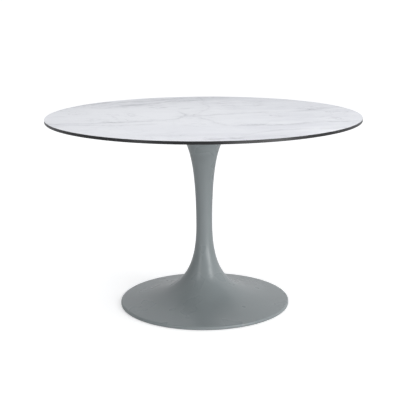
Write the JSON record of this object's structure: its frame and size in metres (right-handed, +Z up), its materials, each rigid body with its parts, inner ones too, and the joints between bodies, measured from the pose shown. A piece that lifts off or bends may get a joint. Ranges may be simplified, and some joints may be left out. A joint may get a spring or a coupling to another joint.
{
  "type": "round pedestal table",
  "caption": "Round dining table: a thin marble-look laminate top on a trumpet-shaped steel pedestal with a wide flat foot and levelling feet.",
  "frame": {"origin": "on the floor under the pedestal's axis, at the height of the levelling feet's soles", "axes": "+Z up along the pedestal's axis; -Y is the side that the picture shows, +X is to its right. The table is round, so X and Y only set where the levelling feet stand"},
  "size_m": [1.1998, 1.2, 0.745],
  "materials": {
    "marble_decor": "satin, printed with soft grey veins",
    "black_laminate": "satin, sawn and polished edge",
    "grey_powder_coat": "satin powder coat",
    "black_steel": "fine-texture black powder coat",
    "cast_iron": "sand cast, black primer",
    "zinc_steel": "bright zinc plate",
    "brass": "turned",
    "soft_rubber": "matte",
    "black_nylon": "moulded, matte"
  },
  "bodies": {
    "root": {"tabletop_face": "marble_decor", "tabletop_core": "black_laminate", "tabletop_backer": "black_laminate", "threaded_inserts": "brass", "plate_cushion": "soft_rubber", "mounting_plate": "black_steel", "plate_hub": "black_steel", "gusset_ribs": "black_steel", "mounting_screws": "zinc_steel", "screw_washers": "zinc_steel", "pedestal_shell": "grey_powder_coat", "bulkhead": "black_steel", "tie_rod": "zinc_steel", "rod_jam_nut": "zinc_steel", "ballast": "cast_iron", "clamp_washer": "zinc_steel", "spring_washer": "zinc_steel", "clamp_nut": "zinc_steel"},
    "foot_pad_1": {"foot_pad_1": "black_nylon"},
    "foot_stem_1": {"foot_stem_1": "zinc_steel"},
    "foot_pad_2": {"foot_pad_2": "black_nylon"},
    "foot_stem_2": {"foot_stem_2": "zinc_steel"},
    "foot_pad_3": {"foot_pad_3": "black_nylon"},
    "foot_stem_3": {"foot_stem_3": "zinc_steel"},
    "foot_pad_4": {"foot_pad_4": "black_nylon"},
    "foot_stem_4": {"foot_stem_4": "zinc_steel"}
  },
  "joints": [
    {"name": "foot_1_height", "type": "slide", "parent": "root", "child": "foot_pad_1", "axis": [0, 0, -1], "range_m": [0, 0.005]},
    {"name": "foot_1_screw", "type": "hinge", "parent": "foot_pad_1", "child": "foot_stem_1", "pos_m": [0.18526, 0.18526, 0.004], "axis": [0, 0, -1], "range_deg": [0, 1440]},
    {"name": "foot_2_height", "type": "slide", "parent": "root", "child": "foot_pad_2", "axis": [0, 0, -1], "range_m": [0, 0.005]},
    {"name": "foot_2_screw", "type": "hinge", "parent": "foot_pad_2", "child": "foot_stem_2", "pos_m": [-0.18526, 0.18526, 0.004], "axis": [0, 0, -1], "range_deg": [0, 1440]},
    {"name": "foot_3_height", "type": "slide", "parent": "root", "child": "foot_pad_3", "axis": [0, 0, -1], "range_m": [0, 0.005]},
    {"name": "foot_3_screw", "type": "hinge", "parent": "foot_pad_3", "child": "foot_stem_3", "pos_m": [-0.18526, -0.18526, 0.004], "axis": [0, 0, -1], "range_deg": [0, 1440]},
    {"name": "foot_4_height", "type": "slide", "parent": "root", "child": "foot_pad_4", "axis": [0, 0, -1], "range_m": [0, 0.005]},
    {"name": "foot_4_screw", "type": "hinge", "parent": "foot_pad_4", "child": "foot_stem_4", "pos_m": [0.18526, -0.18526, 0.004], "axis": [0, 0, -1], "range_deg": [0, 1440]}
  ],
  "couplings": [
    {"joint": "foot_1_height", "follows": "foot_1_screw", "m_per_rad": 0.00019894},
    {"joint": "foot_2_height", "follows": "foot_2_screw", "m_per_rad": 0.00019894},
    {"joint": "foot_3_height", "follows": "foot_3_screw", "m_per_rad": 0.00019894},
    {"joint": "foot_4_height", "follows": "foot_4_screw", "m_per_rad": 0.00019894}
  ]
}
